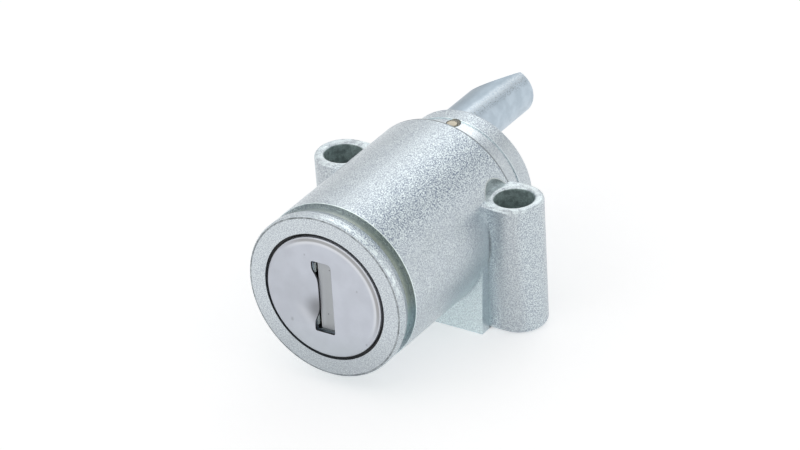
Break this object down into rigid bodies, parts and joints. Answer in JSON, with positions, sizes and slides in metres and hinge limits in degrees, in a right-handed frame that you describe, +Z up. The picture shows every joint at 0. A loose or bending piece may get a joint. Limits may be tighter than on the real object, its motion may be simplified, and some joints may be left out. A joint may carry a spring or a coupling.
{
  "type": "battery lock",
  "caption": "Cylinder lock for an e-bike battery: zinc housing with two screw bosses, keyed plug behind a dust shutter, and a sprung bolt drawn in by a turn of the key.",
  "frame": {"origin": "on the base plane, midway between the axes of the two screw holes", "axes": "+Z up along the screws, +Y along the lock axis towards the bolt, -Y towards the key face, +X to the right seen from the key side"},
  "size_m": [0.0324, 0.0501, 0.0238],
  "materials": {
    "zinc_casting": "die-cast zinc alloy, pale zinc plate with a fine sandy grain",
    "stainless_cap": "drawn stainless steel, satin",
    "plated_bolt": "steel, zinc plated, satin",
    "spring_steel": "drawn spring wire and hard steel pins",
    "brass": "turned and stamped brass",
    "black_rubber": "black sealing rubber",
    "shutter_steel": "stamped stainless strip, satin grey"
  },
  "bodies": {
    "root": {"housing": "zinc_casting", "face_seal": "black_rubber", "stator": "zinc_casting", "core_pin": "spring_steel", "guide_pin": "brass"},
    "plug": {"key_plug": "zinc_casting", "plug_cap": "stainless_cap", "driver_hub": "zinc_casting", "driver_pins": "spring_steel", "plug_circlip": "spring_steel", "shutter_pin": "spring_steel", "shutter_spring": "spring_steel", "wafer_spring_1": "spring_steel", "wafer_spring_2": "spring_steel", "wafer_spring_3": "spring_steel", "wafer_spring_4": "spring_steel", "wafer_spring_5": "spring_steel"},
    "shutter": {"shutter": "shutter_steel"},
    "bolt": {"bolt_carriage": "zinc_casting", "bolt": "plated_bolt", "bolt_spring": "spring_steel"},
    "wafer_1": {"wafer_1": "brass"},
    "wafer_2": {"wafer_2": "brass"},
    "wafer_3": {"wafer_3": "brass"},
    "wafer_4": {"wafer_4": "brass"},
    "wafer_5": {"wafer_5": "brass"}
  },
  "joints": [
    {"name": "plug_turn", "type": "hinge", "parent": "root", "child": "plug", "pos_m": [0, -0.0142, 0.0128], "axis": [0, 1, 0], "range_deg": [0, 90]},
    {"name": "bolt_slide", "type": "slide", "parent": "root", "child": "bolt", "axis": [0, -1, 0], "range_m": [0, 0.005], "stiffness_N_per_m": 300, "springref_m": -0.003, "deforming": ["bolt_spring"]},
    {"name": "shutter_swing", "type": "hinge", "parent": "plug", "child": "shutter", "pos_m": [0.00195, -0.02335, 0.0128], "axis": [0, 0, -1], "range_deg": [0, 75], "stiffness_Nm_per_rad": 0.0005, "springref_deg": -28.65, "deforming": ["shutter_spring"]},
    {"name": "wafer_1_slide", "type": "slide", "parent": "plug", "child": "wafer_1", "axis": [0, 0, 1], "range_m": [0, 0.0007], "stiffness_N_per_m": 60, "springref_m": 0.002, "deforming": ["wafer_spring_1"]},
    {"name": "wafer_2_slide", "type": "slide", "parent": "plug", "child": "wafer_2", "axis": [0, 0, 1], "range_m": [0, 0.0007], "stiffness_N_per_m": 60, "springref_m": 0.002, "deforming": ["wafer_spring_2"]},
    {"name": "wafer_3_slide", "type": "slide", "parent": "plug", "child": "wafer_3", "axis": [0, 0, 1], "range_m": [0, 0.0007], "stiffness_N_per_m": 60, "springref_m": 0.002, "deforming": ["wafer_spring_3"]},
    {"name": "wafer_4_slide", "type": "slide", "parent": "plug", "child": "wafer_4", "axis": [0, 0, 1], "range_m": [0, 0.0007], "stiffness_N_per_m": 60, "springref_m": 0.002, "deforming": ["wafer_spring_4"]},
    {"name": "wafer_5_slide", "type": "slide", "parent": "plug", "child": "wafer_5", "axis": [0, 0, 1], "range_m": [0, 0.0007], "stiffness_N_per_m": 60, "springref_m": 0.002, "deforming": ["wafer_spring_5"]}
  ],
  "couplings": [
    {"joint": "plug_turn", "follows": "bolt_slide", "rad_per_m": 314.16}
  ]
}
